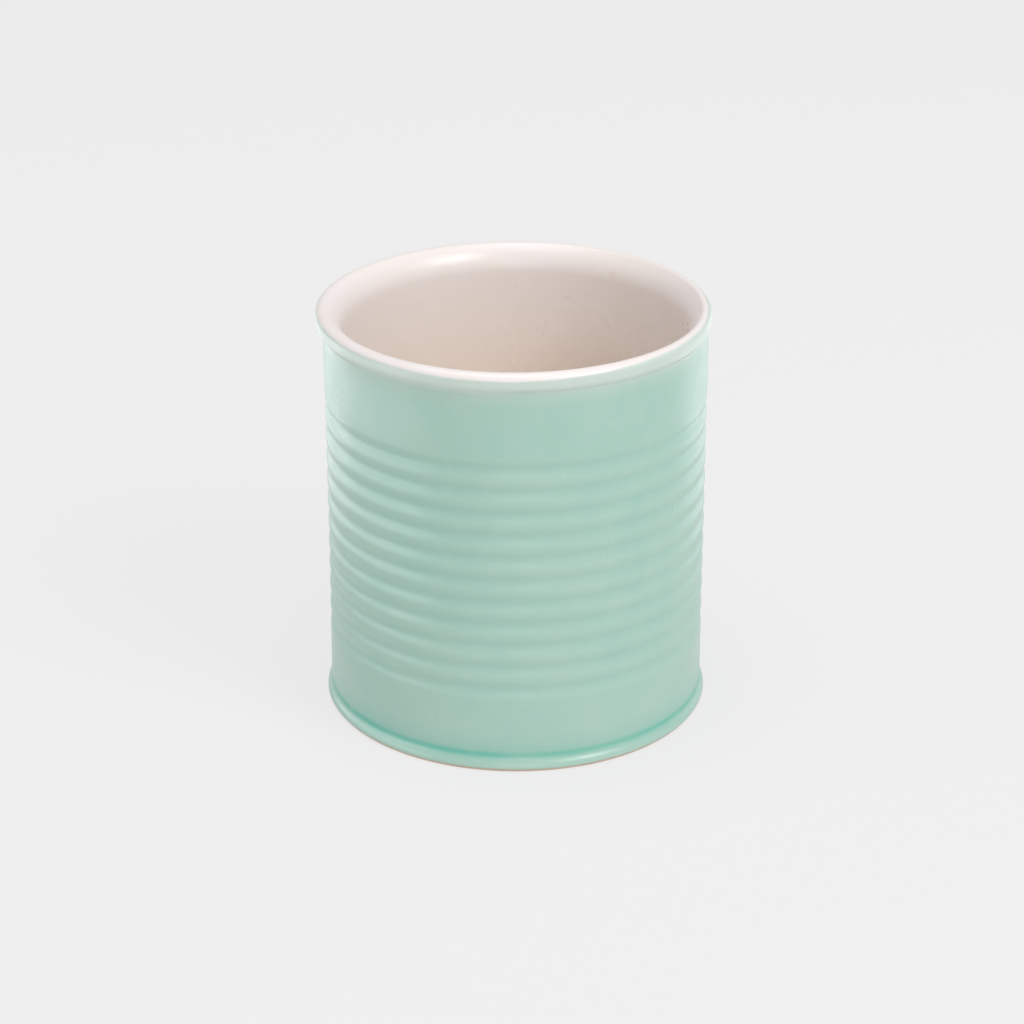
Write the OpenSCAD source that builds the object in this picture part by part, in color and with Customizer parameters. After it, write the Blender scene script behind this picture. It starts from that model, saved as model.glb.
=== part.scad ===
// Round ribbed ceramic pot for standing brushes and pens in.
// A turned clay body carries a mint glaze outside, a cream glaze inside and over
// the rim, and a cream glaze in the hollow under the foot.
// The sizes below are those of the finished, glazed pot. It stands on z = 0 and
// its axis is the Z axis.

/* [Body] */
// Outside diameter of the plain bands of the wall
body_diameter = 82; // [60:0.5:110]
// Height from the table to the top of the rim
body_height = 90; // [70:0.5:130]
// Thickness of the glazed wall
wall_thickness = 4.2; // [3:0.1:7]
// Thickness of the glazed floor above the hollow foot
floor_thickness = 4.2; // [3:0.1:8]
// Radius of the corner between the wall and the floor inside
floor_corner = 6; // [3:0.5:12]

/* [Rim] */
// How far the rolled rim stands out from the wall
rim_proud = 1.1; // [0.4:0.1:2.5]
// Radius of the rim's rounded edges
rim_roll = 1.6; // [1:0.1:2.2]
// Height of the straight band between those edges, outside
rim_band = 0.9; // [0.3:0.1:3]
// Radius of the soft hollow just under the rim
rim_hollow = 1.6; // [0.8:0.1:4]
// How far outside the wall the centre of the flare that opens the mouth lies
flare_reach = 2.8; // [0.8:0.1:8]
// Drop from the top of the rim to where the cream glaze meets the mint
glaze_line_drop = 1; // [0.4:0.05:1.4]

/* [Ribs] */
// Number of grooves round the wall
groove_count = 11; // [3:1:16]
// Height of the plain band between the rim and the ribs
upper_band = 13.8; // [4:0.1:30]
// Height of the plain band between the ribs and the groove above the foot
lower_band = 12.8; // [4:0.1:30]
// Depth of a groove below the ribs on each side of it
groove_depth = 0.4; // [0.2:0.05:0.9]
// How far the ribs stand out from the plain bands
rib_proud = 0.06; // [0.03:0.01:0.2]

/* [Foot] */
// How far the foot band stands out from the wall
foot_proud = 0.9; // [0.5:0.1:3]
// Height of the straight side of the foot band
foot_side = 0.9; // [0.8:0.1:4]
// Radius of the rounded top edge of the foot band
foot_roll = 1.9; // [1:0.1:4]
// Bevel round the bottom edge of the clay
foot_bevel = 0.3; // [0.1:0.05:0.6]
// Radius of the groove above the foot band, where the mint glaze pools
pool_radius = 2.4; // [1:0.1:4]
// Depth of that groove below the wall, over the glaze
pool_depth = 0.1; // [0.05:0.05:0.6]
// Extra depth of the clay there, which the pooled glaze fills
pool_fill = 0.5; // [0.1:0.05:0.8]
// Width of the clay ring that the pot rests on
foot_ring_width = 4.8; // [3:0.1:8]
// Depth of the hollow inside the foot ring
foot_hollow_depth = 2; // [1:0.1:4]

/* [Glaze] */
// Thickness of each coat of glaze
glaze = 0.35; // [0.2:0.05:0.6]
// Height of bare clay below the edge of the mint glaze
bare_foot = 0.5; // [0.3:0.1:1.5]
// Height of bare clay below the edge of the glaze under the foot
bare_ring = 0.8; // [0.5:0.1:1.5]

/* [Hidden] */
// names: clay_body, outer_glaze, liner_glaze, underside_glaze

// arcs cross their neighbours by this much, so that no two only touch
cross = 0.02;
// past the end of anything that it cuts
past = 1;

body_r = body_diameter / 2;
inner_r = body_r - wall_thickness;

// the rim: a rounded crest, a second round edge below it, and the hollow under that
rim_r = body_r + rim_proud;
crest_r = rim_r - rim_roll;
crest_z = body_height - rim_roll;
edge_z = crest_z - rim_band;
rim_hollow_r = body_r + rim_hollow - cross;
rim_hollow_z = edge_z - sqrt(pow(rim_roll + rim_hollow - cross, 2) - pow(rim_hollow_r - crest_r, 2));
glaze_line = body_height - glaze_line_drop;

// the mouth: an arc from the crest down to the wall, which it meets at flare_z
mouth_flare = wall_thickness + flare_reach;
flare_r = inner_r + mouth_flare - cross;
flare_z = crest_z - sqrt(pow(mouth_flare - rim_roll + cross, 2) - pow(flare_r - crest_r, 2));
flare_slope = (crest_z - flare_z) / (flare_r - crest_r);

// the foot
foot_r = body_r + foot_proud;
foot_edge_r = foot_r - foot_roll;
pool_r = body_r + pool_radius - pool_depth;
pool_z = foot_side + sqrt(pow(foot_roll + pool_radius - cross, 2) - pow(pool_r - foot_edge_r, 2));
resting_r = foot_r - cross - glaze - foot_bevel;
ring_inner_r = resting_r - foot_ring_width;
ring_corner = min(1.2, foot_hollow_depth / 2);
inner_floor = foot_hollow_depth + floor_thickness;

// where the coats part: inside the wall, and outside everything
middle_r = (body_r + inner_r) / 2;
beyond_r = max(rim_r, foot_r) + past;

// the ribs: arcs out and arcs in, which fill the wall between the plain bands.
// They would meet smoothly if their radii came to smooth_sum, and cross at a
// slight angle as their sum is a little larger.
ribs_bottom = pool_z + lower_band;
ribs_top = rim_hollow_z - upper_band;
groove_pitch = (ribs_top - ribs_bottom) / groove_count;
rib_r = body_r + rib_proud;
smooth_sum = (pow(groove_depth, 2) + pow(groove_pitch / 2, 2)) / (2 * groove_depth);
rib_share = 0.6;
rib_arc = rib_share * 1.04 * smooth_sum;
groove_arc = (1 - rib_share) * 1.04 * smooth_sum;
rib_core = rib_r - rib_share * groove_depth;

$fn = 96;

// a rectangle between two radii and two heights
module band(r0, r1, z0, z1) {
    translate([r0, z0]) square([r1 - r0, z1 - z0]);
}

// a round section at one radius and height
module round_at(r, z, size) {
    translate([r, z]) circle(r = size);
}

// The rolled rim. Like the modules after it, it is drawn for the glazed
// surface, and "under" is how far below that the section lies.
module rim_section(under) {
    edge_r = crest_r + rim_roll - under;
    round_at(crest_r, crest_z, rim_roll - under);
    round_at(crest_r, edge_z, rim_roll - under);
    band(crest_r - past, edge_r - cross, edge_z, crest_z);
    band(crest_r - past, body_r - under, flare_z - past, edge_z);
    difference() {
        polygon([[crest_r - past, rim_hollow_z], [rim_hollow_r, rim_hollow_z],
                 [crest_r, edge_z], [crest_r - past, edge_z]]);
        round_at(rim_hollow_r, rim_hollow_z, rim_hollow + under);
    }
}

// the flare inside the mouth, from the wall up to where it runs into the crest
module mouth_section(under) {
    reach = flare_r - inner_r + past;
    intersection() {
        round_at(flare_r, flare_z, mouth_flare - under);
        polygon([[flare_r, flare_z], [flare_r - reach, flare_z],
                 [flare_r - reach, flare_z + reach * flare_slope]]);
        band(inner_r - past, crest_r, flare_z - past, body_height);
    }
}

// the wall from the axis outwards, with its ribs and foot
module wall_section(under) {
    difference() {
        union() {
            band(0, body_r - under, 0, ribs_bottom);
            band(0, rib_core - under, ribs_bottom - past, ribs_top + past);
            band(0, body_r - under, ribs_top, flare_z);
            for (i = [0 : groove_count])
                round_at(rib_r - rib_arc, ribs_bottom + i * groove_pitch, rib_arc - under);
            band(0, foot_r - cross - under, 0, foot_side);
            intersection() {
                round_at(foot_edge_r, foot_side, foot_roll - under);
                band(0, foot_r, 0, foot_side + foot_roll);
            }
            polygon([[middle_r, foot_side], [foot_edge_r, foot_side],
                     [pool_r, pool_z], [middle_r, pool_z]]);
        }
        for (i = [0 : groove_count - 1])
            round_at(rib_r - groove_depth + groove_arc, ribs_bottom + (i + 0.5) * groove_pitch,
                     groove_arc + under);
        round_at(pool_r - (under > 0 ? pool_fill : 0), pool_z, pool_radius + under);
    }
}

// the hollow inside the pot, up to the mouth
module inside_section(under) {
    size = floor_corner + under;
    corner_r = inner_r - floor_corner + cross;
    corner_z = inner_floor + floor_corner - cross;
    band(0, corner_r, inner_floor - under, body_height);
    band(0, inner_r + under, corner_z, body_height);
    round_at(corner_r, corner_z, size);
}

// the whole pot, filled in under the floor
module pot_section(under) {
    difference() {
        wall_section(under);
        inside_section(under);
    }
    rim_section(under);
    mouth_section(under);
}

// the hollow inside the foot ring
module foot_hollow_section(under) {
    corner_r = ring_inner_r - ring_corner + cross;
    corner_z = foot_hollow_depth - ring_corner - cross;
    band(0, corner_r, -past, foot_hollow_depth - under);
    band(0, ring_inner_r - under, -past, corner_z);
    round_at(corner_r, corner_z, ring_corner - under);
}

// everything outside the middle of the wall and rim, between the mint glaze's edges
module mint_side() {
    band(middle_r, beyond_r, bare_foot, edge_z);
    band(crest_r, beyond_r, edge_z, glaze_line);
}

// everything inside the middle of the wall and rim, and all above the mint glaze
module cream_side() {
    band(0, middle_r, foot_hollow_depth, edge_z);
    band(0, crest_r, edge_z, body_height + past);
    band(crest_r - past, beyond_r, glaze_line, body_height + past);
}

module coat_section() {
    difference() {
        pot_section(0);
        pot_section(glaze);
    }
}

module clay_body() {
    color([0.80, 0.68, 0.56])
    rotate_extrude()
    difference() {
        pot_section(glaze);
        foot_hollow_section(0);
        polygon([[resting_r - past, -past], [resting_r + past, -past], [resting_r + past, past]]);
    }
}

module outer_glaze() {
    color([0.60, 0.79, 0.72])
    rotate_extrude()
    intersection() {
        coat_section();
        mint_side();
    }
}

module liner_glaze() {
    color([0.93, 0.87, 0.82])
    rotate_extrude()
    intersection() {
        coat_section();
        cream_side();
    }
}

module underside_glaze() {
    color([0.93, 0.87, 0.82])
    rotate_extrude()
    difference() {
        intersection() {
            foot_hollow_section(0);
            band(0, ring_inner_r + past, bare_ring, foot_hollow_depth + past);
        }
        foot_hollow_section(glaze);
    }
}

clay_body();
outer_glaze();
liner_glaze();
underside_glaze();
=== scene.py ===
import math

import bpy
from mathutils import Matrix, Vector


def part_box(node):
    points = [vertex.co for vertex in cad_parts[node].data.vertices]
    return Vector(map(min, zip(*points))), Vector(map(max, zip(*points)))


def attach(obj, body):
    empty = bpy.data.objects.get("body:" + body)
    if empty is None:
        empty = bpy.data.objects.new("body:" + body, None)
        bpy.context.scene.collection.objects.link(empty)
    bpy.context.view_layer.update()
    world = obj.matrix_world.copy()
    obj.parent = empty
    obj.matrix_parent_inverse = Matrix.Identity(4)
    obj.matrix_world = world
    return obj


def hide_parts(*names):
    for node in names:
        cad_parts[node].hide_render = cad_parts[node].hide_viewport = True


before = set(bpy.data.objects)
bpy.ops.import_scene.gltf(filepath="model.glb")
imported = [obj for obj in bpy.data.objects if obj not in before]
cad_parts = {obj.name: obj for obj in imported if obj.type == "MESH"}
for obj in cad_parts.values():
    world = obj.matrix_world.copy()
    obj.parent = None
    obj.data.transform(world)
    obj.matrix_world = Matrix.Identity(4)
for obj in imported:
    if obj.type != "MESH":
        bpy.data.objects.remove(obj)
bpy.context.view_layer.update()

clayBox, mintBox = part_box("clay_body"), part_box("outer_glaze")
creamBox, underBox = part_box("liner_glaze"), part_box("underside_glaze")

# sizes that the boxes don't give, in metres
pot = {
    "rimProud": 0.0011,         # how far the rolled rim stands out from the wall
    "rimRoll": 0.0016,          # radius of the rim's rounded edges
    "rimBand": 0.0009,          # straight band between them
    "rimHollow": 0.0016,        # soft hollow under the rim
    "flareReach": 0.0028,       # how far outside the wall the centre of the mouth's flare lies
    "wallThickness": 0.0042,
    "floorCorner": 0.006,
    "grooves": 11,
    "upperBand": 0.0138,        # plain band between the rim and the ribs
    "lowerBand": 0.0128,        # plain band between the ribs and the pool groove
    "grooveDepth": 0.0004,
    "grooveSharpness": 1.25,    # above 1 the grooves are narrower than the ribs
    "footProud": 0.0009,
    "footSide": 0.0009,         # height of the foot band's straight side
    "footRoll": 0.0019,         # radius of its rounded top edge
    "footBevel": 0.0003,
    "poolRadius": 0.0024,       # groove above the foot band, where the glaze pools
    "poolDepth": 0.0001,
    "poolFill": 0.0005,         # extra glaze there
    "poolSpread": 0.0008,       # height over which that extra glaze thins out
    "poolEase": 0.0024,         # height over which the groove runs out into the wall
    "ringCorner": 0.0012,       # rounding of the hollow under the foot
    "edgeRound": 0.0005,        # height over which the lower edge of the glaze rounds off
}

# how many steps each stretch of the outlines is drawn in
fineness = {
    "footSide": 3, "footRoll": 8, "poolGroove": 8, "poolEase": 8,
    "lowerBand": 4, "groove": 12, "upperBand": 5,
    "rimHollow": 6, "rimEdge": 8, "rimCrest": 4, "lip": 14, "flare": 14,
    "wallInside": 24, "floorCorner": 10, "floor": 14,
    "glazeEdge": 6, "ringCeiling": 12, "ringCorner": 6, "ring": 6, "bareBand": 2,
}
samePoint = 1e-6            # points nearer to each other than this are one

potHeight = creamBox[1].z
glazeThickness = creamBox[1].z - clayBox[1].z
glazeLine = mintBox[1].z
bareFoot = mintBox[0].z
floorTop = creamBox[0].z + glazeThickness
rimRadius = mintBox[1].x
wallRadius = rimRadius - pot["rimProud"]
innerRadius = wallRadius - pot["wallThickness"]
footRadius = wallRadius + pot["footProud"]
flareRadius = pot["wallThickness"] + pot["flareReach"]


def arc(centre, radius, start, end, steps):
    # points of an arc between two angles in radians
    angles = [start + (end - start) * i / steps for i in range(steps + 1)]
    return [(centre[0] + radius * math.cos(a), centre[1] + radius * math.sin(a)) for a in angles]


def straight(start, end, steps):
    return [(start[0] + (end[0] - start[0]) * i / steps,
             start[1] + (end[1] - start[1]) * i / steps) for i in range(steps + 1)]


def withoutDoubles(points):
    kept = [points[0]]
    for point in points[1:]:
        if math.dist(point, kept[-1]) > samePoint:
            kept.append(point)
    return kept


def footOutline():
    # from the edge of the glaze up over the foot band and out of the pool groove
    edge = (footRadius - pot["footRoll"], pot["footSide"])
    reach = pot["footRoll"] + pot["poolRadius"]
    poolRadiusAt = wallRadius - pot["poolDepth"] + pot["poolRadius"]
    poolHeight = edge[1] + math.sqrt(reach ** 2 - (poolRadiusAt - edge[0]) ** 2)
    turn = math.atan2(poolHeight - edge[1], poolRadiusAt - edge[0])
    points = straight((footRadius, bareFoot), (footRadius, edge[1]), fineness["footSide"])
    points += arc(edge, pot["footRoll"], 0, turn, fineness["footRoll"])
    points += arc((poolRadiusAt, poolHeight), pot["poolRadius"],
                  turn + math.pi, math.pi, fineness["poolGroove"])
    for i in range(1, fineness["poolEase"] + 1):
        share = i / fineness["poolEase"]
        sunkStill = 0.5 + 0.5 * math.cos(math.pi * share)
        points.append((wallRadius - pot["poolDepth"] * sunkStill,
                       poolHeight + pot["poolEase"] * share))
    return points, poolHeight


def rimCentres():
    # the centres of the rim's two rounded edges, of the hollow under it and of the flare
    crest = (rimRadius - pot["rimRoll"], potHeight - pot["rimRoll"])
    edge = (crest[0], crest[1] - pot["rimBand"])
    out = wallRadius + pot["rimHollow"]
    reach = pot["rimRoll"] + pot["rimHollow"]
    hollow = (out, edge[1] - math.sqrt(reach ** 2 - (out - edge[0]) ** 2))
    out = innerRadius + flareRadius
    reach = flareRadius - pot["rimRoll"]
    flare = (out, crest[1] - math.sqrt(reach ** 2 - (out - crest[0]) ** 2))
    return crest, edge, hollow, flare


crestAt, edgeAt, hollowAt, flareAt = rimCentres()


def wallOutline(bottom, top):
    # the plain bands and the grooves between them
    ribsBottom, ribsTop = bottom + pot["lowerBand"] - pot["poolEase"], top - pot["upperBand"]
    points = straight((wallRadius, bottom), (wallRadius, ribsBottom), fineness["lowerBand"])
    steps = fineness["groove"] * pot["grooves"]
    for i in range(1, steps):
        turns = i / fineness["groove"]
        dip = (0.5 - 0.5 * math.cos(2 * math.pi * turns)) ** pot["grooveSharpness"]
        points.append((wallRadius - pot["grooveDepth"] * dip,
                       ribsBottom + (ribsTop - ribsBottom) * i / steps))
    points += straight((wallRadius, ribsTop), (wallRadius, top), fineness["upperBand"])
    return points, ribsBottom, ribsTop


def outsideOutline():
    # from the edge of the glaze above the foot up to the glaze line on the rim
    foot, poolHeight = footOutline()
    wall, ribsBottom, ribsTop = wallOutline(foot[-1][1], hollowAt[1])
    turn = math.atan2(edgeAt[1] - hollowAt[1], edgeAt[0] - hollowAt[0])
    stop = math.asin((glazeLine - crestAt[1]) / pot["rimRoll"])
    points = foot + wall
    points += arc(hollowAt, pot["rimHollow"], math.pi, turn, fineness["rimHollow"])
    points += arc(edgeAt, pot["rimRoll"], turn - math.pi, 0, fineness["rimEdge"])
    points += arc(crestAt, pot["rimRoll"], 0, stop, fineness["rimCrest"])
    return withoutDoubles(points), poolHeight, ribsBottom, ribsTop


def insideOutline():
    # from the glaze line over the crest, down the flare and the wall, and across the floor
    start = math.asin((glazeLine - crestAt[1]) / pot["rimRoll"])
    turn = math.atan2(crestAt[1] - flareAt[1], crestAt[0] - flareAt[0])
    corner = (innerRadius - pot["floorCorner"], floorTop + pot["floorCorner"])
    points = arc(crestAt, pot["rimRoll"], start, turn, fineness["lip"])
    points += arc(flareAt, flareRadius, turn, math.pi, fineness["flare"])
    points += straight((innerRadius, flareAt[1]), (innerRadius, corner[1]), fineness["wallInside"])
    points += arc(corner, pot["floorCorner"], 0, -math.pi / 2, fineness["floorCorner"])
    points += straight((corner[0], floorTop), (0, floorTop), fineness["floor"])
    return withoutDoubles(points)


def sunk(points, depths):
    # the same line, set into the clay by each point's own depth
    moved = []
    for i, (r, z) in enumerate(points):
        before, after = points[max(i - 1, 0)], points[min(i + 1, len(points) - 1)]
        dr, dz = after[0] - before[0], after[1] - before[1]
        size = math.hypot(dr, dz)
        moved.append((max(r - depths[i] * dz / size, 0), z + depths[i] * dr / size))
    return moved


def swellAt(value, middle, width):
    # 1 at the middle, fading to nothing on both sides
    return math.exp(-((value - middle) / width) ** 2)


outside, poolHeight, ribsBottom, ribsTop = outsideOutline()
inside = insideOutline()
poolThickness = [glazeThickness + pot["poolFill"] * swellAt(z, poolHeight, pot["poolSpread"])
                 for r, z in outside]
outsideClay = sunk(outside, poolThickness)
insideClay = sunk(inside, [glazeThickness] * len(inside))
insideClay[-1] = (0, floorTop - glazeThickness)


def eased(value, low, high):
    # 0 below low, 1 above high, and a smooth rise between
    share = min(max((value - low) / (high - low), 0), 1)
    return share * share * (3 - 2 * share)


# how thick the mint glaze looks, with painted shade in the grooves: 0 over sharp edges, wall on the
# wall, 1 where it pools
mintFlow = {
    "wall": 0.5,
    "ribs": -0.02,              # added all over the ribs
    "grooves": 0.06,            # added at the bottom of a groove: partly glaze pooling there, partly painted shade in the groove
    "pool": 0.42, "poolLift": -0.0001, "poolWidth": 0.0007,
    "abovePool": 0.12, "aboveLift": 0.001, "aboveWidth": 0.0022,
    "overBead": -0.4,           # added on the bead under the rim
    "beadFrom": 0.0062, "beadTo": 0.0032,       # distances below the top of the pot
}
# where the painted bounce light down inside the pot begins and where the lip starts
creamFlow = {"paintedBounceFrom": 0.03, "lipFrom": 0.001}       # distances below the top of the pot


def mintDepthAndGrooveShade(r, z):
    depthAndPaintedLight = mintFlow["wall"]
    if ribsBottom < z < ribsTop:
        # darker in the grooves, partly from glaze pooling and partly as painted shade
        depthAndPaintedLight += mintFlow["ribs"] + mintFlow["grooves"] * (wallRadius - r) / pot["grooveDepth"]
    depthAndPaintedLight += mintFlow["pool"] * swellAt(z, poolHeight + mintFlow["poolLift"], mintFlow["poolWidth"])
    depthAndPaintedLight += mintFlow["abovePool"] * swellAt(z, poolHeight + mintFlow["aboveLift"],
                                             mintFlow["aboveWidth"])
    depthAndPaintedLight += mintFlow["overBead"] * eased(z, potHeight - mintFlow["beadFrom"],
                                          potHeight - mintFlow["beadTo"])
    return min(max(depthAndPaintedLight, 0), 1)


def creamPaintedBounce(z):
    # 0 on the lip, 1 well down inside, where the cream is painted warmer as painted bounce light
    # inside the pot
    return 1 - eased(z, potHeight - creamFlow["paintedBounceFrom"], potHeight - creamFlow["lipFrom"])


def lapAlong(points, direction):
    # distance of each point from the glaze line, above 0 on the cream side and below 0 on the mint
    distances = [0.0]
    for a, b in zip(points, points[1:]):
        distances.append(distances[-1] + direction * math.dist(a, b))
    return distances


farFromLine = 0.05          # a distance well clear of the glaze line

# the noises that swell the wall and lift the rim, and how far apart their seeds lie
swellNoise = {"Detail": 2.0, "Roughness": 0.35}
liftNoise = {"Detail": 0.0}
liftSeedStep = 7


def buildWheel():
    # turns a line of points round the Z axis, with a potter's slight unevenness
    tree = bpy.data.node_groups.new("wheel", "GeometryNodeTree")
    face = tree.interface
    face.new_socket("Geometry", in_out="INPUT", socket_type="NodeSocketGeometry")
    face.new_socket("Segments", in_out="INPUT", socket_type="NodeSocketInt")
    for label in ("Wall Radius", "Height", "Unevenness", "Swell Scale", "Seed",
                  "Bead Shift", "Bead From", "Bead To", "Bead Depth"):
        face.new_socket(label, in_out="INPUT", socket_type="NodeSocketFloat")
    face.new_socket("Material", in_out="INPUT", socket_type="NodeSocketMaterial")
    face.new_socket("Geometry", in_out="OUTPUT", socket_type="NodeSocketGeometry")

    def add(kind, **values):
        made = tree.nodes.new(kind)
        for name, value in values.items():
            setattr(made, name, value)
        return made

    def calculate(operation, first, second=None):
        made = add("ShaderNodeMath", operation=operation)
        for socket, value in zip(made.inputs, (first, second)):
            if isinstance(value, (int, float)):
                socket.default_value = value
            elif value is not None:
                tree.links.new(value, socket)
        return made.outputs[0]

    def link(a, b):
        tree.links.new(a, b)

    given = add("NodeGroupInput").outputs
    count = add("GeometryNodeAttributeDomainSize", component="MESH")
    link(given["Geometry"], count.inputs["Geometry"])
    grid = add("GeometryNodeMeshGrid")
    link(calculate("ADD", given["Segments"], 1), grid.inputs["Vertices X"])
    link(count.outputs["Point Count"], grid.inputs["Vertices Y"])

    # each grid point takes a place on the line and an angle round the axis
    index = add("GeometryNodeInputIndex").outputs[0]
    lineLength = count.outputs["Point Count"]
    column = calculate("FLOOR", calculate("DIVIDE", calculate("ADD", index, 0.5), lineLength))
    row = calculate("SUBTRACT", index, calculate("MULTIPLY", column, lineLength))
    place = add("GeometryNodeSampleIndex", data_type="FLOAT_VECTOR", domain="POINT")
    link(given["Geometry"], place.inputs["Geometry"])
    link(add("GeometryNodeInputPosition").outputs[0], place.inputs["Value"])
    link(row, place.inputs["Index"])
    onLine = add("ShaderNodeSeparateXYZ")
    link(place.outputs[0], onLine.inputs[0])
    radius, height = onLine.outputs["X"], onLine.outputs["Z"]
    angle = calculate("MULTIPLY", calculate("DIVIDE", column, given["Segments"]), 2 * math.pi)
    across, along = calculate("COSINE", angle), calculate("SINE", angle)

    # swells are read on one cylinder, so that coats and clay move together
    reading = add("ShaderNodeCombineXYZ")
    link(calculate("MULTIPLY", across, given["Wall Radius"]), reading.inputs["X"])
    link(calculate("MULTIPLY", along, given["Wall Radius"]), reading.inputs["Y"])
    link(height, reading.inputs["Z"])

    def unevenBy(seed, settings):
        noise = add("ShaderNodeTexNoise", noise_dimensions="4D")
        link(reading.outputs[0], noise.inputs["Vector"])
        link(seed, noise.inputs["W"])
        link(given["Swell Scale"], noise.inputs["Scale"])
        for name, value in settings.items():
            noise.inputs[name].default_value = value
        centred = calculate("SUBTRACT", noise.outputs[0], 0.5)
        return calculate("MULTIPLY", centred, given["Unevenness"])

    bulge = unevenBy(given["Seed"], swellNoise)
    share = calculate("MINIMUM", calculate("DIVIDE", radius, given["Wall Radius"]), 1)
    turned = calculate("ADD", radius, calculate("MULTIPLY", bulge, share))
    risen = unevenBy(calculate("ADD", given["Seed"], liftSeedStep), liftNoise)
    heightShare = calculate("DIVIDE", height, given["Height"])
    risen = calculate("MULTIPLY", risen, calculate("MULTIPLY", share, heightShare))

    # the bead sits a little to one side of the wall under it
    def ramp(value, low, high):
        rise = add("ShaderNodeMapRange", interpolation_type="SMOOTHSTEP")
        for name, source in (("Value", value), ("From Min", low), ("From Max", high)):
            link(source, rise.inputs[name])
        return rise.outputs[0]

    nearTop = ramp(height, calculate("SUBTRACT", given["Height"], given["Bead From"]),
                   calculate("SUBTRACT", given["Height"], given["Bead To"]))
    nearEdge = ramp(radius, calculate("SUBTRACT", given["Wall Radius"], given["Bead Depth"]),
                    given["Wall Radius"])
    aside = calculate("MULTIPLY", given["Bead Shift"], calculate("MULTIPLY", nearTop, nearEdge))

    target = add("ShaderNodeCombineXYZ")
    link(calculate("ADD", aside, calculate("MULTIPLY", turned, across)), target.inputs["X"])
    link(calculate("MULTIPLY", turned, along), target.inputs["Y"])
    link(calculate("ADD", height, risen), target.inputs["Z"])
    shaped = add("GeometryNodeSetPosition")
    link(grid.outputs["Mesh"], shaped.inputs["Geometry"])
    link(target.outputs[0], shaped.inputs["Position"])

    # each point also takes what the line says of its glaze
    stored = shaped
    for label in ("glazeDepthAndPaintedLight", "lap"):
        sampled = add("GeometryNodeSampleIndex", data_type="FLOAT", domain="POINT")
        named = add("GeometryNodeInputNamedAttribute", data_type="FLOAT")
        named.inputs["Name"].default_value = label
        link(given["Geometry"], sampled.inputs["Geometry"])
        link(named.outputs["Attribute"], sampled.inputs["Value"])
        link(row, sampled.inputs["Index"])
        kept = add("GeometryNodeStoreNamedAttribute", data_type="FLOAT", domain="POINT")
        kept.inputs["Name"].default_value = label
        link(stored.outputs[0], kept.inputs["Geometry"])
        link(sampled.outputs[0], kept.inputs["Value"])
        stored = kept

    # close the seam and the poles, and drop the edges that this leaves bare
    merged = add("GeometryNodeMergeByDistance")
    merged.inputs["Distance"].default_value = samePoint
    link(stored.outputs[0], merged.inputs["Geometry"])
    neighbours = add("GeometryNodeInputMeshEdgeNeighbors")
    bare = add("FunctionNodeCompare", data_type="INT", operation="EQUAL")
    link(neighbours.outputs[0], bare.inputs["A"])
    cleaned = add("GeometryNodeDeleteGeometry", domain="EDGE")
    link(merged.outputs[0], cleaned.inputs["Geometry"])
    link(bare.outputs[0], cleaned.inputs["Selection"])
    smooth = add("GeometryNodeSetShadeSmooth")
    link(cleaned.outputs[0], smooth.inputs[0])
    real = add("GeometryNodeRealizeInstances")
    link(smooth.outputs[0], real.inputs[0])
    coated = add("GeometryNodeSetMaterial")
    link(real.outputs[0], coated.inputs["Geometry"])
    link(given["Material"], coated.inputs["Material"])
    link(coated.outputs[0], add("NodeGroupOutput").inputs["Geometry"])
    return tree


wheelTree = buildWheel()
wheel = {
    "Segments": 240, "Wall Radius": wallRadius, "Height": potHeight,
    "Unevenness": 0.0006,                       # from the lowest place of the wall to the highest
    "Swell Scale": 17.0, "Seed": 3.0,
    "Bead Shift": -0.0005,                      # along X
    "Bead From": 0.008, "Bead To": 0.003,       # distances below the top over which it sets in
    "Bead Depth": 0.0025,                       # how far into the wall it fades out
}
sharpAngle = math.radians(40)       # edges that turn by more than this stay crisp
print("wheel built")


def throwPiece(name, node, line, looks, material):
    # turns the line on the wheel and keeps the result as a plain mesh
    blank = bpy.data.meshes.new(name + "Line")
    blank.from_pydata([(r, 0, z) for r, z in line], [(i, i + 1) for i in range(len(line) - 1)], [])
    for label, values in looks.items():
        layer = blank.attributes.new(label, "FLOAT", "POINT")
        layer.data.foreach_set("value", values)
    lump = bpy.data.objects.new(name + "Line", blank)
    bpy.context.scene.collection.objects.link(lump)
    turning = lump.modifiers.new("wheel", "NODES")
    turning.node_group = wheelTree
    for item in wheelTree.interface.items_tree:
        if item.in_out == "INPUT" and item.name in wheel:
            turning[item.identifier] = wheel[item.name]
        elif item.in_out == "INPUT" and item.name == "Material":
            turning[item.identifier] = material
    evaluated = lump.evaluated_get(bpy.context.evaluated_depsgraph_get())
    fired = bpy.data.meshes.new_from_object(evaluated)
    fired.name = name
    fired.set_sharp_from_angle(angle=sharpAngle)
    lump.modifiers.remove(turning)
    bpy.data.objects.remove(lump)
    piece = bpy.data.objects.new(name, fired)
    bpy.context.scene.collection.objects.link(piece)
    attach(piece, "root")
    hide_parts(node)
    print(name, "thrown,", len(fired.polygons), "faces")


def newGroup(name, inputs, outputs):
    tree = bpy.data.node_groups.new(name, "ShaderNodeTree")
    for label, kind, value in inputs:
        socket = tree.interface.new_socket(label, in_out="INPUT", socket_type=kind)
        if value is not None:
            socket.default_value = value
    for label, kind in outputs:
        tree.interface.new_socket(label, in_out="OUTPUT", socket_type=kind)
    return tree, tree.nodes.new("NodeGroupInput"), tree.nodes.new("NodeGroupOutput")


def placeNode(tree, kind, inputs=None, **settings):
    # adds a node, sets its options and then its inputs, from values or from sockets
    made = tree.nodes.new(kind)
    for name, value in settings.items():
        setattr(made, name, value)
    for name, value in (inputs or {}).items():
        if isinstance(value, bpy.types.NodeSocket):
            tree.links.new(value, made.inputs[name])
        else:
            made.inputs[name].default_value = value
    return made


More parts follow.
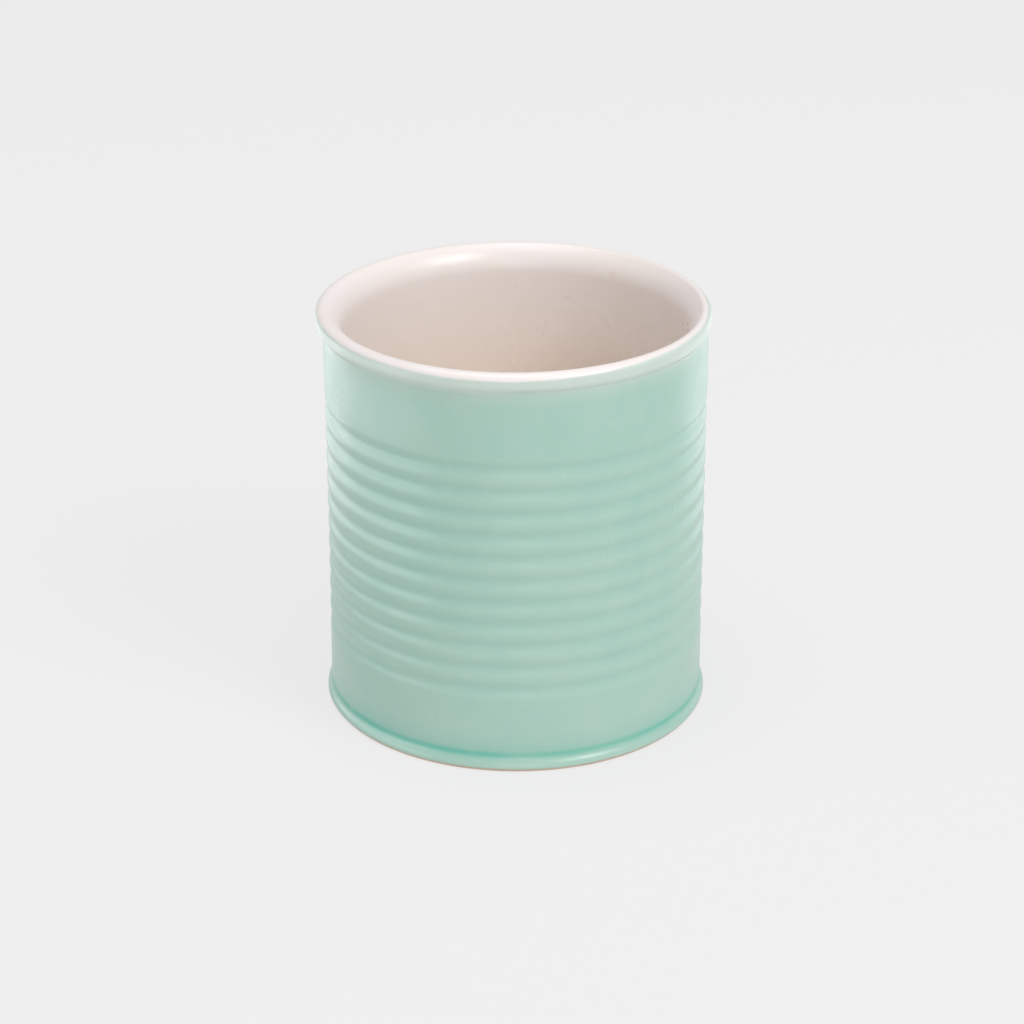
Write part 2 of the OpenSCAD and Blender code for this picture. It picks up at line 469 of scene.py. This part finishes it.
def spread(tree, value, fromMin, fromMax, toMin, toMax):
    made = placeNode(tree, "ShaderNodeMapRange", {
        "Value": value, "From Min": fromMin, "From Max": fromMax, "To Min": toMin, "To Max": toMax})
    return made.outputs[0]


# the noises behind a glaze's colour and relief, and the stretches of them that are read
glazeNoise = {
    "drift": {"Detail": 3.0, "Roughness": 0.55, "Distortion": 0.6},
    "grain": {"Detail": 2.0, "Roughness": 0.6}, "grainFiner": 14.0,
    "cloudRange": (0.32, 0.68),
    "spotRange": (0.12, 0.34),          # a spot is whole inside the first and gone past the second
    "waves": {"Detail": 2.0, "Roughness": 0.4},
    "dimples": {"Detail": 1.0}, "dimplesFiner": 5.0,
    "wander": {"Scale": 60.0, "Detail": 4.0, "Roughness": 0.6},
}


def buildMottle():
    # cloudy variation of a glaze: broad drifts, smaller clouds and a fine grain
    tree, given, out = newGroup("glazeMottle", [
        ("Vector", "NodeSocketVector", None), ("Scale", "NodeSocketFloat", 90.0),
        ("Grain", "NodeSocketFloat", 0.3)], [("Cloud", "NodeSocketFloat")])
    drift = placeNode(tree, "ShaderNodeTexNoise", {
        "Vector": given.outputs["Vector"], "Scale": given.outputs["Scale"],
        **glazeNoise["drift"]})
    fineScale = placeNode(tree, "ShaderNodeMath", {
        0: given.outputs["Scale"], 1: glazeNoise["grainFiner"]}, operation="MULTIPLY")
    grain = placeNode(tree, "ShaderNodeTexNoise", {
        "Vector": given.outputs["Vector"], "Scale": fineScale.outputs[0],
        **glazeNoise["grain"]})
    mixed = placeNode(tree, "ShaderNodeMix", {
        "Factor": given.outputs["Grain"], "A": drift.outputs[0], "B": grain.outputs[0]},
        data_type="FLOAT")
    cloud = spread(tree, mixed.outputs["Result"], *glazeNoise["cloudRange"], 0.0, 1.0)
    tree.links.new(cloud, out.inputs["Cloud"])
    return tree


def buildSpecks():
    # small scattered spots of uneven size
    tree, given, out = newGroup("glazeSpecks", [
        ("Vector", "NodeSocketVector", None), ("Scale", "NodeSocketFloat", 500.0),
        ("Amount", "NodeSocketFloat", 0.2)], [("Mask", "NodeSocketFloat")])
    cells = placeNode(tree, "ShaderNodeTexVoronoi", {
        "Vector": given.outputs["Vector"], "Scale": given.outputs["Scale"], "Randomness": 1.0})
    chance = placeNode(tree, "ShaderNodeSeparateColor", {"Color": cells.outputs["Color"]})
    chosen = placeNode(tree, "ShaderNodeMath", {0: chance.outputs[0], 1: given.outputs["Amount"]},
                       operation="LESS_THAN")
    spot = spread(tree, cells.outputs["Distance"], *glazeNoise["spotRange"], 1.0, 0.0)
    size = placeNode(tree, "ShaderNodeMath", {0: spot, 1: chosen.outputs[0]}, operation="MULTIPLY")
    strength = placeNode(tree, "ShaderNodeMath", {0: size.outputs[0], 1: chance.outputs[1]},
                         operation="MULTIPLY")
    tree.links.new(strength.outputs[0], out.inputs["Mask"])
    return tree


def buildPeel():
    # height of the soft waves and fine dimples of a fired glaze
    tree, given, out = newGroup("glazePeel", [
        ("Vector", "NodeSocketVector", None), ("Scale", "NodeSocketFloat", 400.0),
        ("Dimples", "NodeSocketFloat", 0.3)], [("Height", "NodeSocketFloat")])
    waves = placeNode(tree, "ShaderNodeTexNoise", {
        "Vector": given.outputs["Vector"], "Scale": given.outputs["Scale"],
        **glazeNoise["waves"]})
    fineScale = placeNode(tree, "ShaderNodeMath", {
        0: given.outputs["Scale"], 1: glazeNoise["dimplesFiner"]}, operation="MULTIPLY")
    dimples = placeNode(tree, "ShaderNodeTexNoise", {
        "Vector": given.outputs["Vector"], "Scale": fineScale.outputs[0],
        **glazeNoise["dimples"]})
    mixed = placeNode(tree, "ShaderNodeMix", {
        "Factor": given.outputs["Dimples"], "A": waves.outputs[0], "B": dimples.outputs[0]},
        data_type="FLOAT")
    tree.links.new(mixed.outputs["Result"], out.inputs["Height"])
    return tree


def buildDipLine():
    # 0 where the mint shows and 1 where the cream does. The line between them lies at
    # Front on the Y axis, rises towards both sides, leans along X and wanders.
    tree, given, out = newGroup("dipLine", [
        ("Vector", "NodeSocketVector", None), ("Lap", "NodeSocketFloat", 0.0),
        ("Front", "NodeSocketFloat", -0.0002), ("Rise At Sides", "NodeSocketFloat", 0.001),
        ("Lean", "NodeSocketFloat", 0.0003), ("Wander", "NodeSocketFloat", 0.0009),
        ("Softness", "NodeSocketFloat", 0.00035)], [("Mask", "NodeSocketFloat")])
    acrossPot = placeNode(tree, "ShaderNodeSeparateXYZ", {0: given.outputs["Vector"]}).outputs["X"]
    share = placeNode(tree, "ShaderNodeMath", {0: acrossPot, 1: wallRadius},
                      operation="DIVIDE").outputs[0]
    square = placeNode(tree, "ShaderNodeMath", {0: share, 1: share},
                       operation="MULTIPLY").outputs[0]
    sides = placeNode(tree, "ShaderNodeMath", {
        0: square, 1: given.outputs["Rise At Sides"], 2: given.outputs["Front"]},
        operation="MULTIPLY_ADD").outputs[0]
    leaning = placeNode(tree, "ShaderNodeMath", {0: share, 1: given.outputs["Lean"], 2: sides},
                        operation="MULTIPLY_ADD").outputs[0]
    wander = placeNode(tree, "ShaderNodeTexNoise", {
        "Vector": given.outputs["Vector"], **glazeNoise["wander"]}).outputs[0]
    centred = placeNode(tree, "ShaderNodeMath", {0: wander, 1: 0.5},
                        operation="SUBTRACT").outputs[0]
    line = placeNode(tree, "ShaderNodeMath", {
        0: centred, 1: given.outputs["Wander"], 2: leaning}, operation="MULTIPLY_ADD").outputs[0]
    past = placeNode(tree, "ShaderNodeMath", {0: given.outputs["Lap"], 1: line},
                     operation="SUBTRACT").outputs[0]
    low = placeNode(tree, "ShaderNodeMath", {0: given.outputs["Softness"], 1: -1.0},
                    operation="MULTIPLY")
    mask = placeNode(tree, "ShaderNodeMapRange", {
        "Value": past, "From Min": low.outputs[0], "From Max": given.outputs["Softness"]},
        interpolation_type="SMOOTHSTEP")
    tree.links.new(mask.outputs[0], out.inputs["Mask"])
    return tree


mottleGroup, specksGroup = buildMottle(), buildSpecks()
peelGroup, dipGroup = buildPeel(), buildDipLine()


def newMaterial(name):
    material = bpy.data.materials.new(name)
    material.use_nodes = True
    tree = material.node_tree
    shader = tree.nodes["Principled BSDF"]
    place = tree.nodes.new("ShaderNodeTexCoord").outputs["Object"]
    return material, tree, shader, place


def useGroup(tree, group, inputs):
    made = tree.nodes.new("ShaderNodeGroup")
    made.node_tree = group
    for name, value in inputs.items():
        if isinstance(value, bpy.types.NodeSocket):
            tree.links.new(value, made.inputs[name])
        else:
            made.inputs[name].default_value = value
    return made.outputs[0]


def blendColour(tree, factor, first, second):
    # a mix node's colours are its seventh and eighth inputs and its third output
    blend = placeNode(tree, "ShaderNodeMix", data_type="RGBA")
    for socket, value in ((0, factor), (6, first), (7, second)):
        if isinstance(value, bpy.types.NodeSocket):
            tree.links.new(value, blend.inputs[socket])
        else:
            blend.inputs[socket].default_value = value
    return blend.outputs[2]


def tinted(tree, colour, mask, start, strength, tint):
    # lays a tint over the colour where the mask rises above its start
    return blendColour(tree, spread(tree, mask, start, 1.0, 0.0, strength), colour, tint)


# a tint is where it starts on its mask, its strength and its colour
mintLook = {
    "thin": (0.60, 0.69, 0.63, 1),          # over the bead
    "wall": (0.40, 0.59, 0.51, 1),
    "deep": (0.12, 0.49, 0.38, 1),          # where it pools
    "depths": (0.1, 0.44, 0.97),            # the depths of glaze that show those three
    "flow": 0.07,                           # how much the depth varies from place to place
    "cloud": {"Scale": 90.0, "Grain": 0.08},
    "tints": (                              # greyish drifts, a paler grain, dark and light specks
        (mottleGroup, {"Scale": 22.0, "Grain": 0.0}, 0.3, 0.3, (0.45, 0.58, 0.505, 1)),
        (mottleGroup, {"Scale": 260.0, "Grain": 0.2}, 0.5, 0.07, (0.50, 0.66, 0.58, 1)),
        (specksGroup, {"Scale": 420.0, "Amount": 0.05}, 0.0, 0.12, (0.30, 0.50, 0.42, 1)),
        (specksGroup, {"Scale": 310.0, "Amount": 0.06}, 0.0, 0.14, (0.70, 0.74, 0.66, 1)),
    ),
    "toast": (0.50, 0.36, 0.27, 1),         # the last of the mint above the foot
    "toastStrength": 0.75,
    "toastFull": -0.0001, "toastGone": 0.0004,      # heights above the bare clay
    "toastRagged": -0.0003,                 # how far the cloud shifts those heights
    "roughness": (0.27, 0.36),
    "peel": {"Scale": 210.0, "Dimples": 0.06},
    "peelHeight": 0.00003,
}

creamLook = {
    "lip": (0.87, 0.812, 0.80, 1),
    # the warmer colour down inside is painted bounce light
    "inside": (0.92, 0.83, 0.755, 1),
    "cloud": {"Scale": 70.0, "Grain": 0.06},
    "warmTint": (0.3, 0.35, (0.86, 0.77, 0.69, 1)),
    "specks": {"Scale": 330.0, "Amount": 0.05},
    "speckTint": (0.0, 0.2, (0.62, 0.50, 0.41, 1)),
    "roughness": (0.26, 0.36),
    "peel": {"Scale": 180.0, "Dimples": 0.06},
    "peelHeight": 0.00003,
}
glazeIor = 1.6


def readAttribute(tree, label):
    return placeNode(tree, "ShaderNodeAttribute", attribute_name=label).outputs["Fac"]


def mintColour(tree, place, cloud):
    # thin over the bead, mint on the wall, deep green where the glaze pools
    flow = placeNode(tree, "ShaderNodeMath", {
        0: cloud, 1: mintLook["flow"], 2: -mintLook["flow"] / 2}, operation="MULTIPLY_ADD")
    read = placeNode(tree, "ShaderNodeMath", {
        0: readAttribute(tree, "glazeDepthAndPaintedLight"), 1: flow.outputs[0]}, operation="ADD")
    ramp = placeNode(tree, "ShaderNodeValToRGB", {"Fac": read.outputs[0]})
    stops = ramp.color_ramp.elements
    thinAt, wallAt, deepAt = mintLook["depths"]
    stops[0].position, stops[0].color = thinAt, mintLook["thin"]
    stops[1].position, stops[1].color = deepAt, mintLook["deep"]
    stops.new(wallAt).color = mintLook["wall"]
    colour = ramp.outputs["Color"]

    for group, settings, *tint in mintLook["tints"]:
        mask = useGroup(tree, group, {"Vector": place, **settings})
        colour = tinted(tree, colour, mask, *tint)
    return colour


def creamColour(tree, place, cloud, depthAndPaintedLight):
    # warmer further down inside: painted bounce light
    colour = blendColour(tree, depthAndPaintedLight, creamLook["lip"], creamLook["inside"])
    colour = tinted(tree, colour, cloud, *creamLook["warmTint"])
    specks = useGroup(tree, specksGroup, {"Vector": place, **creamLook["specks"]})
    return tinted(tree, colour, specks, *creamLook["speckTint"])


def glassSurface(tree, shader, place, cloud, look):
    # the gloss and the soft waves of a fired glaze
    tree.links.new(spread(tree, cloud, 0.0, 1.0, *look["roughness"]), shader.inputs["Roughness"])
    height = useGroup(tree, peelGroup, {"Vector": place, **look["peel"]})
    relief = placeNode(tree, "ShaderNodeBump", {"Height": height, "Distance": look["peelHeight"]})
    tree.links.new(relief.outputs[0], shader.inputs["Normal"])
    shader.inputs["IOR"].default_value = glazeIor


def makeMintGlaze():
    material, tree, shader, place = newMaterial("mintGlaze")
    cloud = useGroup(tree, mottleGroup, {"Vector": place, **mintLook["cloud"]})
    colour = mintColour(tree, place, cloud)
    dip = useGroup(tree, dipGroup, {"Vector": place, "Lap": readAttribute(tree, "lap")})
    colour = blendColour(tree, dip, colour, creamLook["lip"])

    # the last of the mint above the foot is toasted
    level = placeNode(tree, "ShaderNodeSeparateXYZ", {0: place}).outputs["Z"]
    ragged = placeNode(tree, "ShaderNodeMath", {0: cloud, 1: mintLook["toastRagged"], 2: level},
                       operation="MULTIPLY_ADD")
    share = spread(tree, ragged.outputs[0], bareFoot + mintLook["toastFull"],
                   bareFoot + mintLook["toastGone"], mintLook["toastStrength"], 0.0)
    colour = blendColour(tree, share, colour, mintLook["toast"])
    tree.links.new(colour, shader.inputs["Base Color"])
    glassSurface(tree, shader, place, cloud, mintLook)
    return material


def makeCreamGlaze():
    material, tree, shader, place = newMaterial("creamGlaze")
    cloud = useGroup(tree, mottleGroup, {"Vector": place, **creamLook["cloud"]})
    colour = creamColour(tree, place, cloud, readAttribute(tree, "glazeDepthAndPaintedLight"))
    dip = useGroup(tree, dipGroup, {"Vector": place, "Lap": readAttribute(tree, "lap")})
    colour = blendColour(tree, dip, mintLook["thin"], colour)
    tree.links.new(colour, shader.inputs["Base Color"])
    glassSurface(tree, shader, place, cloud, creamLook)
    return material


clayLook = {
    "base": (0.62, 0.47, 0.36, 1),
    "cloud": {"Scale": 160.0, "Grain": 0.5},
    "toastTint": (0.3, 0.7, (0.42, 0.28, 0.19, 1)),
    "specks": {"Scale": 1500.0, "Amount": 0.3},
    "gritTint": (0.0, 0.6, (0.78, 0.68, 0.58, 1)),
    "roughness": (0.75, 0.92),
    "grain": {"Scale": 1400.0, "Dimples": 0.5},
    "grainHeight": 0.00009,
}


def makeFiredClay():
    material, tree, shader, place = newMaterial("firedClay")
    cloud = useGroup(tree, mottleGroup, {"Vector": place, **clayLook["cloud"]})
    colour = tinted(tree, clayLook["base"], cloud, *clayLook["toastTint"])
    grit = useGroup(tree, specksGroup, {"Vector": place, **clayLook["specks"]})
    colour = tinted(tree, colour, grit, *clayLook["gritTint"])
    tree.links.new(colour, shader.inputs["Base Color"])
    roughness = spread(tree, cloud, 0.0, 1.0, *clayLook["roughness"])
    tree.links.new(roughness, shader.inputs["Roughness"])
    height = useGroup(tree, peelGroup, {"Vector": place, **clayLook["grain"]})
    relief = placeNode(tree, "ShaderNodeBump", {
        "Height": height, "Distance": clayLook["grainHeight"]})
    tree.links.new(relief.outputs[0], shader.inputs["Normal"])
    return material


mintGlaze, creamGlaze, firedClay = makeMintGlaze(), makeCreamGlaze(), makeFiredClay()
print("materials made")


def hollowLine(under):
    # the hollow inside the foot ring, from the axis out and down
    ringRadius, ceiling = underBox[1].x, underBox[1].z
    corner = (ringRadius - pot["ringCorner"], ceiling - pot["ringCorner"])
    points = straight((0, ceiling - under), (corner[0], ceiling - under),
                      fineness["ringCeiling"])
    points += arc(corner, pot["ringCorner"] - under, math.pi / 2, 0, fineness["ringCorner"])
    return withoutDoubles(points)


clearOfEdge = 0.00001       # how far above the rounded edge the coat's own outline takes over


def makeMintCoat():
    # its lower edge rounds off onto the clay
    edge = []
    for i in range(fineness["glazeEdge"] + 1):
        turn = math.pi / 2 * i / fineness["glazeEdge"]
        edge.append((footRadius - glazeThickness * (1 - math.sin(turn)),
                     bareFoot + pot["edgeRound"] * (1 - math.cos(turn))))
    above = edge[-1][1] + clearOfEdge
    shown = withoutDoubles(edge + [point for point in outside if point[1] > above])

    # the side on the clay needs only every third point, and stops above the edge
    hidden = [outsideClay[-1]] + outsideClay[-3:5:-3] + [edge[0]]
    depths = [mintDepthAndGrooveShade(r, z) for r, z in shown] + [mintFlow["wall"]] * len(hidden)
    looks = {"glazeDepthAndPaintedLight": depths,
             "lap": lapAlong(shown[::-1], -1)[::-1] + [-farFromLine] * len(hidden)}
    throwPiece("mintCoat", "outer_glaze", shown + hidden, looks, mintGlaze)


def makeCreamCoat():
    # the side on the clay needs only every second point
    hidden = insideClay[::-2]
    if hidden[-1] != insideClay[0]:
        hidden.append(insideClay[0])
    line = inside + hidden + [inside[0]]
    looks = {"glazeDepthAndPaintedLight": [creamPaintedBounce(z) for r, z in line],
             "lap": lapAlong(inside, 1) + [farFromLine] * len(hidden) + [0.0]}
    throwPiece("creamCoat", "liner_glaze", line, looks, creamGlaze)


def makeUndersideCoat():
    shown, hidden = hollowLine(glazeThickness), hollowLine(0)
    edge = underBox[0].z
    shown += [(shown[-1][0], edge)]
    hidden = [(hidden[-1][0], edge)] + hidden[::-1]
    line = shown + hidden
    looks = {"glazeDepthAndPaintedLight": [1.0] * len(line), "lap": [farFromLine] * len(line)}
    throwPiece("undersideCoat", "underside_glaze", line, looks, creamGlaze)


def makeClayBody():
    ring = hollowLine(0)
    side = footRadius - glazeThickness
    line = ring + straight((ring[-1][0], 0), (side - pot["footBevel"], 0), fineness["ring"])
    line += straight((side, pot["footBevel"]), (side, bareFoot), fineness["bareBand"])

    # what lies under the glaze needs only every second point
    line += [point for point in outsideClay[::2] if point[1] > bareFoot]
    line += [insideClay[0]] + insideClay[1::2] + [insideClay[-1]]
    line = withoutDoubles(line)
    looks = {"glazeDepthAndPaintedLight": [0.0] * len(line), "lap": [0.0] * len(line)}
    throwPiece("clayPot", "clay_body", line, looks, firedClay)


makeMintCoat()
makeCreamCoat()
makeUndersideCoat()
makeClayBody()

# the low panels beside the pot put the pale streaks on its ribs and edges
studio = {
    "floorSize": 6.0,
    "floorGlow": 0.69,          # the floor's own light, which keeps it evenly pale
    "floorColour": (0.17, 0.17, 0.17, 1),
    "white": (1, 1, 1, 1),
    "world": 0.54,              # strength of the light from all round
    "panels": {         # place, width, height, power, colour, whether it lights matt surfaces
        "overhead": ((-0.2, -0.1, 1.6), 1.2, 1.2, 7.4, (1.0, 0.98, 0.98), True),
        "key": ((1.0, -0.9, 1.25), 0.9, 0.9, 11.5, (1.0, 1.0, 1.0), True),
        "front": ((0.1, -1.8, 0.5), 1.0, 1.0, 3.0, (1.0, 1.0, 1.0), True),
        "leftStrip": ((-0.19, -0.02, 0.045), 0.30, 0.1, 0.14, (0.93, 0.97, 1.0), False),
        "leftEdge": ((-0.118, 0.078, 0.045), 0.12, 0.1, 0.034, (0.93, 0.97, 1.0), False),
        "rightEdge": ((0.118, 0.078, 0.045), 0.12, 0.1, 0.024, (0.93, 0.97, 1.0), False),
    },
    "camera": {         # angles in degrees, lens and sensor in millimetres
        "place": (0, -0.5873, 0.3030), "tilt": 66.01, "turn": 0.081,
        "lens": 103.4, "sensor": 36.0, "near": 0.01, "far": 20.0},
}


def makeFloor():
    half = studio["floorSize"] / 2
    mesh = bpy.data.meshes.new("floor")
    corners = [(-half, -half, 0), (half, -half, 0), (half, half, 0), (-half, half, 0)]
    mesh.from_pydata(corners, [], [(0, 1, 2, 3)])
    material = bpy.data.materials.new("paleFloor")
    material.use_nodes = True
    shader = material.node_tree.nodes["Principled BSDF"]
    shader.inputs["Base Color"].default_value = studio["floorColour"]
    shader.inputs["Roughness"].default_value = 1.0
    shader.inputs["Specular IOR Level"].default_value = 0.0
    shader.inputs["Emission Color"].default_value = studio["white"]
    shader.inputs["Emission Strength"].default_value = studio["floorGlow"]
    mesh.materials.append(material)
    floor = bpy.data.objects.new("floor", mesh)
    bpy.context.scene.collection.objects.link(floor)


def makePanel(name, place, width, height, power, colour, lightsMatt):
    lamp = bpy.data.lights.new(name, "AREA")
    lamp.shape, lamp.size, lamp.size_y = "ELLIPSE", width, height
    lamp.energy, lamp.color = power, colour
    holder = bpy.data.objects.new(name, lamp)
    aim = Vector((0, 0, potHeight / 2)) - Vector(place)
    holder.location, holder.rotation_euler = place, aim.to_track_quat("-Z", "Y").to_euler()
    holder.visible_diffuse, holder.visible_camera = lightsMatt, False
    bpy.context.scene.collection.objects.link(holder)


def makeCamera():
    view = studio["camera"]
    lens = bpy.data.cameras.new("camera")
    lens.sensor_width, lens.lens = view["sensor"], view["lens"]
    lens.clip_start, lens.clip_end = view["near"], view["far"]
    holder = bpy.data.objects.new("camera", lens)
    holder.location = view["place"]
    holder.rotation_euler = (math.radians(view["tilt"]), 0, math.radians(view["turn"]))
    bpy.context.scene.collection.objects.link(holder)
    bpy.context.scene.camera = holder


makeFloor()
for panelName, settings in studio["panels"].items():
    makePanel(panelName, *settings)
makeCamera()
world = bpy.data.worlds.new("studio")
bpy.context.scene.world = world
world.use_nodes = True
sky = world.node_tree.nodes["Background"]
sky.inputs["Color"].default_value = studio["white"]
sky.inputs["Strength"].default_value = studio["world"]
bpy.context.scene.view_settings.view_transform = "Standard"
print("studio set")
